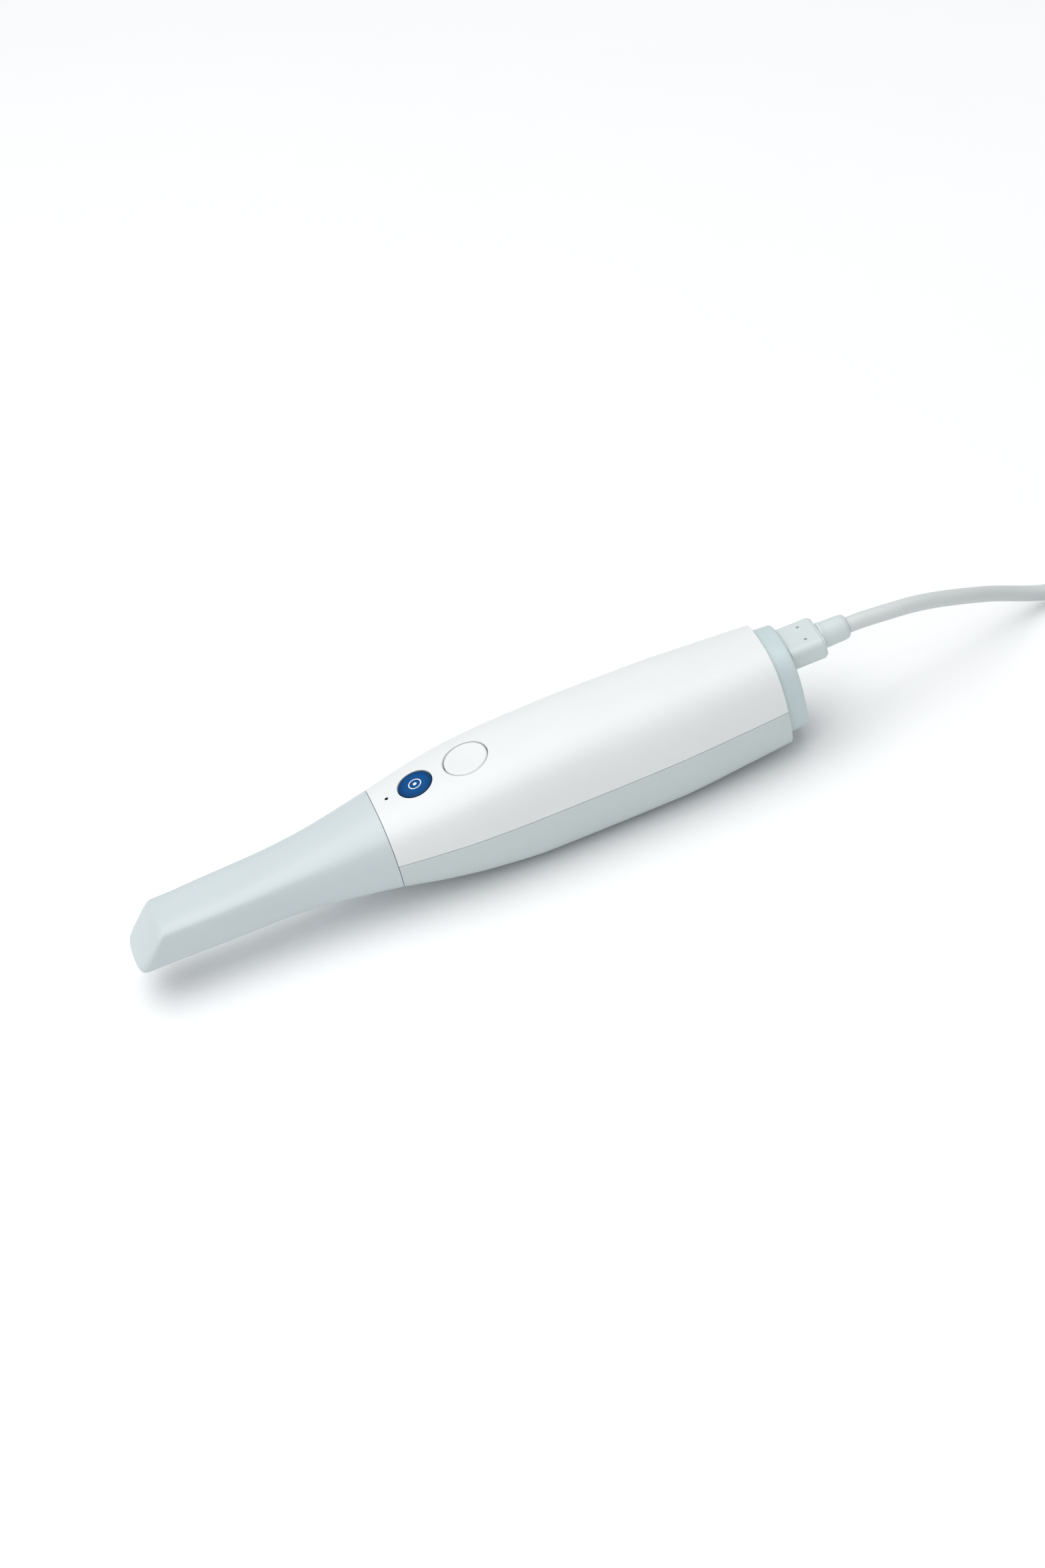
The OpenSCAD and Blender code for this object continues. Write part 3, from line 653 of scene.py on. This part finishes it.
def make_strap(name, side):
    """A woven strap round one straight run of the coil, with its end laid over itself on the outside."""
    half = COIL_TURNS * COIL_PITCH / 2 + CORD_D / 2
    low = COIL_FLOOR - CORD_D / 2
    high = COIL_FLOOR + (COIL_LAYERS - 1) * COIL_RISE + CORD_D / 2
    loop = rounded(2 * half, high - low, STRAP_CORNER, 6) * (side, 1)
    ahead, behind = np.roll(loop, -1, axis=0), np.roll(loop, 1, axis=0)
    outwards = np.column_stack([(ahead - behind)[:, 1], -(ahead - behind)[:, 0]]) * side
    outwards /= np.linalg.norm(outwards, axis=1)[:, None]
    middle = np.array([COIL_Y + side * COIL_MID, (low + high) / 2])

    def walls(first, last, inner, outer, x):
        """Points inside and outside a stretch of the loop, row by row across the strap."""
        picked = np.arange(first, last) % len(loop)
        rows = []
        for place, pinch in zip(np.linspace(*x, 9), (0.1, 0.03, 0, 0, 0, 0, 0, 0.03, 0.1)):
            both = [loop[picked] + outwards[picked] * out for out in (inner + pinch, outer - pinch)]
            rows.append([np.column_stack([np.full(len(picked), place), yz + middle]) for yz in both])
        return rows

    rows = walls(0, len(loop), 0.02, 0.36, STRAP_X)
    band_round = [inside for inside, _ in rows] + [outside for _, outside in rows[::-1]]
    strap = skin(name, band_round, loop=True, place=lambda p: p)
    rows = walls(-5, 6, 0.39, 0.74, (STRAP_X[0] + 0.4, STRAP_X[1] - 0.4))
    flap = skin(name + "_end", [np.vstack([inside, outside[::-1]]) for inside, outside in rows],
                place=lambda p: p)
    return joined(strap, flap)


far_plug = make_far_plug()
far_neck = make_far_neck()
tie = joined(make_strap("coil_strap", 1), make_strap("coil_strap_near", -1))
for piece in (far_plug, far_neck, tie):
    piece.data.set_sharp_from_angle(angle=math.radians(40))


# ---- Materials ----
class Shader:
    """A material under construction: a principled shader and the nodes that feed it."""

    def __init__(self, name, **sockets):
        self.material = bpy.data.materials.new(name)
        self.material.use_nodes = True
        self.tree = self.material.node_tree
        self.surface = self.tree.nodes["Principled BSDF"]
        for socket, value in sockets.items():
            self.surface.inputs[socket.replace("_", " ")].default_value = value
        self.place = self.tree.nodes.new("ShaderNodeTexCoord").outputs["Object"]

    def node(self, kind, **inputs):
        made = self.tree.nodes.new("ShaderNode" + kind)
        for socket, value in inputs.items():
            target = made.inputs[int(socket[1:]) if socket[0] == "i" and socket[1:].isdigit()
                                 else socket.replace("_", " ")]
            if isinstance(value, bpy.types.NodeSocket):
                self.tree.links.new(value, target)
            else:
                target.default_value = value
        return made

    def stretched(self, scale):
        return self.node("Mapping", Vector=self.place, Scale=scale).outputs["Vector"]

    def noise(self, scale, detail=3, place=None):
        return self.node("TexNoise", Vector=place or self.place, Scale=scale, Detail=detail).outputs["Fac"]

    def span(self, value, low, high, source=(0.3, 0.7)):
        return self.node("MapRange", i0=value, i1=source[0], i2=source[1], i3=low, i4=high).outputs[0]

    def colours(self, value, *stops):
        ramp = self.node("ValToRGB", Fac=value)
        ramp.color_ramp.elements[0].position = stops[0][0]
        ramp.color_ramp.elements[-1].position = stops[-1][0]
        ramp.color_ramp.elements[0].color = (*stops[0][1], 1)
        ramp.color_ramp.elements[-1].color = (*stops[-1][1], 1)
        for position, colour in stops[1:-1]:
            ramp.color_ramp.elements.new(position).color = (*colour, 1)
        return ramp.outputs["Color"]

    def link(self, value, socket):
        self.tree.links.new(value, self.surface.inputs[socket])

    def bump(self, height, distance):
        made = self.node("Bump", Height=height, Distance=distance * MM, Strength=1.0)
        self.link(made.outputs["Normal"], "Normal")


GLOSS_DRIFT = 0.015             # how far a moulded part's roughness strays


def shade(colour, factor):
    return tuple(min(c * factor, 1) for c in colour)


def plastic(name, colour, rough, grain=4500, depth=0.0035, drift=0.008, **sockets):
    """Moulded plastic: a faint drift in colour and gloss, and the fine texture of the mould."""
    sh = Shader(name, **sockets)
    sh.link(sh.colours(sh.noise(60, 4), (0.32, shade(colour, 1 - drift)), (0.68, shade(colour, 1 + drift))),
            "Base Color")
    sh.link(sh.span(sh.noise(1400, 3), rough - GLOSS_DRIFT, rough + GLOSS_DRIFT), "Roughness")
    sh.bump(sh.noise(grain, 2), depth)
    return sh.material


def metal(name, colour, rough, brush=(60, 60, 2600), depth=0.001):
    """Brushed or rolled metal, with its lines along one direction."""
    sh = Shader(name, Metallic=1.0)
    lines = sh.noise(1, 3, sh.stretched(brush))
    sh.link(sh.colours(lines, (0.3, shade(colour, 0.96)), (0.7, shade(colour, 1.03))), "Base Color")
    sh.link(sh.span(lines, rough - 0.03, rough + 0.04), "Roughness")
    sh.bump(lines, depth)
    return sh.material


def glass(name, tint):
    sh = Shader(name, Base_Color=(*tint, 1), Transmission_Weight=1.0, IOR=1.5, Coat_Weight=0.3)
    sh.link(sh.span(sh.noise(150, 2), 0.0, 0.05), "Roughness")
    return sh.material


def board(name):
    """Solder mask over copper tracks, with tinned pads and vias."""
    sh = Shader(name, Specular_IOR_Level=0.55)
    tracks = sh.node("TexBrick", Vector=sh.place, Scale=160.0, Mortar_Size=0.012, Brick_Width=0.7,
                     Row_Height=0.22)
    tracks.inputs["Color1"].default_value = (0.012, 0.13, 0.075, 1)
    tracks.inputs["Color2"].default_value = (0.016, 0.16, 0.092, 1)
    tracks.inputs["Mortar"].default_value = (0.05, 0.3, 0.17, 1)
    vias = sh.node("TexVoronoi", Vector=sh.place, Scale=420.0).outputs["Distance"]
    mix = sh.node("Mix")
    mix.data_type = "RGBA"
    pads = sh.colours(vias, (0.13, (1, 1, 1)), (0.17, (0, 0, 0)))
    sh.tree.links.new(pads, mix.inputs[0])
    sh.tree.links.new(tracks.outputs["Color"], mix.inputs[6])
    mix.inputs[7].default_value = (0.72, 0.62, 0.36, 1)
    sh.link(mix.outputs[2], "Base Color")
    sh.link(pads, "Metallic")
    sh.link(sh.span(sh.noise(300), 0.3, 0.42), "Roughness")
    sh.bump(tracks.outputs["Fac"], 0.03)
    return sh.material


def woven(name, colour):
    """A narrow woven strap: two sets of threads over and under each other, with a soft nap."""
    sh = Shader(name, Sheen_Weight=0.35, Sheen_Roughness=0.5)
    turned = sh.node("Mapping", Vector=sh.place, Rotation=(0, 0, math.radians(45)))
    across = sh.node("TexWave", Vector=turned.outputs["Vector"], Scale=260.0, Distortion=0.6)
    along = sh.node("TexWave", Vector=turned.outputs["Vector"], Scale=230.0, Distortion=0.6)
    along.bands_direction = "Z"
    threads = sh.node("Math", i0=across.outputs["Fac"], i1=along.outputs["Fac"])
    threads.operation = "MULTIPLY"
    stops = (0.05, shade(colour, 0.45)), (0.6, colour), (0.95, shade(colour, 1.5))
    sh.link(sh.colours(threads.outputs[0], *stops), "Base Color")
    sh.link(sh.span(sh.noise(700), 0.72, 0.92), "Roughness")
    sh.bump(threads.outputs[0], 0.16)
    return sh.material


def blue_cap(name, colour, rim, rough):
    """The blue cap, its outer rim painted darker: painted shade standing in for the gap where it meets its
    hole.
    """
    sh = Shader(name, Specular_IOR_Level=0.1)
    centre = Vector(mode_spot.place([[0, 0, 0]])[0] + ORIGIN) * MM
    away = sh.node("VectorMath", i0=sh.place, i1=centre)
    away.operation = "DISTANCE"
    # painted shade: beyond 5.8 mm from the centre the cap takes the rim colour, for the shade of the gap
    # round it
    sh.link(sh.colours(away.outputs["Value"], (0.00565, colour), (0.0058, rim)), "Base Color")
    sh.link(sh.span(sh.noise(1400), rough - 0.02, rough + 0.02), "Roughness")
    sh.bump(sh.noise(4500, 2), 0.003)
    return sh.material


def light_cap(name, colour):
    sh = Shader(name, Specular_IOR_Level=0.1)
    sh.link(sh.colours(sh.noise(900), (0.3, shade(colour, 0.8)), (0.7, shade(colour, 1.2))), "Base Color")
    sh.link(sh.span(sh.noise(500), 0.3, 0.4), "Roughness")
    return sh.material


MATERIALS = {
    "white_plastic": plastic("white_plastic", (0.768, 0.788, 0.784), 0.42, Specular_IOR_Level=0.4),
    # lower_plastic is darker and cooler than the upper shell's plastic: painted shade for the underside of
    # the body
    "lower_plastic": plastic("lower_plastic", (0.575, 0.63, 0.635), 0.42, Specular_IOR_Level=0.4),
    "tip_plastic": plastic("tip_plastic", (0.57, 0.632, 0.652), 0.36, Specular_IOR_Level=0.45),
    "ring_plastic": plastic("ring_plastic", (0.545, 0.635, 0.65), 0.42),
    # the blue cap's second colour is painted shade for the gap round the cap
    "blue_plastic": blue_cap("blue_plastic", (0.001, 0.068, 0.235), (0.001, 0.01, 0.04), 0.4),
    "symbol_plastic": plastic("symbol_plastic", (0.8, 0.84, 0.87), 0.4),
    "mirror": metal("mirror", (0.92, 0.94, 0.95), 0.09, (30, 30, 30), 0.0005),
    "glass": glass("glass", (0.93, 0.97, 0.99)),
    "black_plastic": plastic("black_plastic", (0.022, 0.023, 0.025), 0.42, grain=1800, depth=0.015,
                             drift=0.1),
    "black_metal": metal("black_metal", (0.05, 0.05, 0.055), 0.38, (2400, 40, 40)),
    "aluminium": metal("aluminium", (0.66, 0.68, 0.7), 0.33, (40, 1900, 1900)),
    "steel": metal("steel", (0.7, 0.71, 0.72), 0.24, (40, 1500, 1500)),
    "copper": metal("copper", (0.72, 0.36, 0.2), 0.34, (900, 900, 60)),
    "circuit_board": board("circuit_board"),
    "chip": plastic("chip", (0.02, 0.021, 0.024), 0.5, grain=1800, depth=0.02, drift=0.15),
    "pad": plastic("pad", (0.2, 0.3, 0.46), 0.75, grain=500, depth=0.06, drift=0.08, Sheen_Weight=0.2),
    "light": light_cap("light", (0.004, 0.007, 0.02)),
    "rubber": plastic("rubber", (0.012, 0.012, 0.013), 0.62, grain=1500, depth=0.015, drift=0.12),
    "dark_plastic": plastic("dark_plastic", (0.055, 0.058, 0.064), 0.46, grain=1800, depth=0.015, drift=0.08),
    "plug_plastic": plastic("plug_plastic", (0.62, 0.68, 0.68), 0.45),
    "cable_jacket": plastic("cable_jacket", (0.63, 0.66, 0.66), 0.5, grain=1800, depth=0.01),
    "tie_fabric": woven("tie_fabric", (0.045, 0.048, 0.053)),
}


def finish(piece, slot):
    piece.data.materials.clear()
    piece.data.materials.append(MATERIALS[slot])


# ---- Each new piece: its body, its material slot and the CAD nodes it stands for ----
for piece, body, slot, nodes in (
        (tip, "tip", "tip_plastic", ["tip_shell"]),
        (bezel, "tip", "ring_plastic", ["window_bezel"]),
        (nose, "handpiece", "black_plastic", ["nose_barrel"]),
        (seal, "handpiece", "rubber", ["nose_seal"]),
        (upper_shell, "handpiece", "white_plastic", ["upper_shell"]),
        # the lower shell's darker colour is painted shade for the underside
        (lower_shell, "handpiece", "lower_plastic", ["lower_shell"]),
        (rear_ring, "handpiece", "ring_plastic", ["rear_ring"]),
        (scan_button, "scan_button", "white_plastic", ["scan_button"]),
        (mode_button, "mode_button", "blue_plastic", ["mode_button"]),
        (mode_symbol, "mode_button", "symbol_plastic", ["mode_symbol"]),
        (plug, "cable", "plug_plastic", ["cable_plug"]),
        (neck, "cable", "plug_plastic", ["cable_neck"]),
        (cord, "cable", "cable_jacket", ["cable_cord", "cable_coil"]),
        (tie, "cable", "tie_fabric", ["coil_tie"]),
        (far_neck, "cable", "dark_plastic", ["far_neck"]),
        (far_plug, "cable", "dark_plastic", ["far_plug"])):
    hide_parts(*nodes)
    finish(piece, slot)
    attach(piece, body)

# ---- CAD nodes that keep their shape get a finer material, and an edge where one would show ----
for name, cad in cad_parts.items():
    if cad.hide_render:
        continue
    slot = cad.material_slots[0].material.name.split(".")[0]
    for entry in cad.material_slots:
        entry.material = MATERIALS[slot]
    if slot not in ("glass", "mirror", "light"):
        bevel(cad, 0.12, 2, 60)


# ---- Floor and light ----
def make_floor():
    size = 6
    floor = make_piece("floor", [(-size, -size, 0), (size, -size, 0), (size, size, 0), (-size, size, 0)],
                       [(0, 1, 2, 3)], lambda p: p / MM)
    sh = Shader("floor", Specular_IOR_Level=0.2)
    sh.link(sh.colours(sh.noise(3, 2), (0.3, (0.91, 0.915, 0.92)), (0.7, (0.92, 0.925, 0.93))), "Base Color")
    sh.link(sh.span(sh.noise(40), 0.6, 0.7), "Roughness")
    floor.data.materials.append(sh.material)


def make_light(name, place, target, size, radiance):
    """A soft square light that shines from one point towards another."""
    light = bpy.data.lights.new(name, "AREA")
    light.shape = "SQUARE"
    light.size = size
    light.energy = radiance * math.pi * size * size
    lamp = bpy.data.objects.new(name, light)
    lamp.location = place
    lamp.rotation_mode = "QUATERNION"
    lamp.rotation_quaternion = (Vector(target) - Vector(place)).to_track_quat("-Z", "Y")
    bpy.context.scene.collection.objects.link(lamp)


make_floor()
make_light("softbox", (-0.25, 0.25, 2.2), (0, 0, 0), 2.4, 2.15)
make_light("side", (-1.2, 0.25, 0.75), (-0.1, 0, 0.02), 0.9, 0.8)
make_light("front", (-0.4, -1.2, 1.7), (0, 0, 0.02), 1.2, 2.1)
world = bpy.data.worlds.new("studio")
world.use_nodes = True
world.node_tree.nodes["Background"].inputs["Color"].default_value = (0.96, 0.985, 1, 1)
world.node_tree.nodes["Background"].inputs["Strength"].default_value = 0.4
bpy.context.scene.world = world
bpy.context.scene.view_settings.view_transform = "Standard"
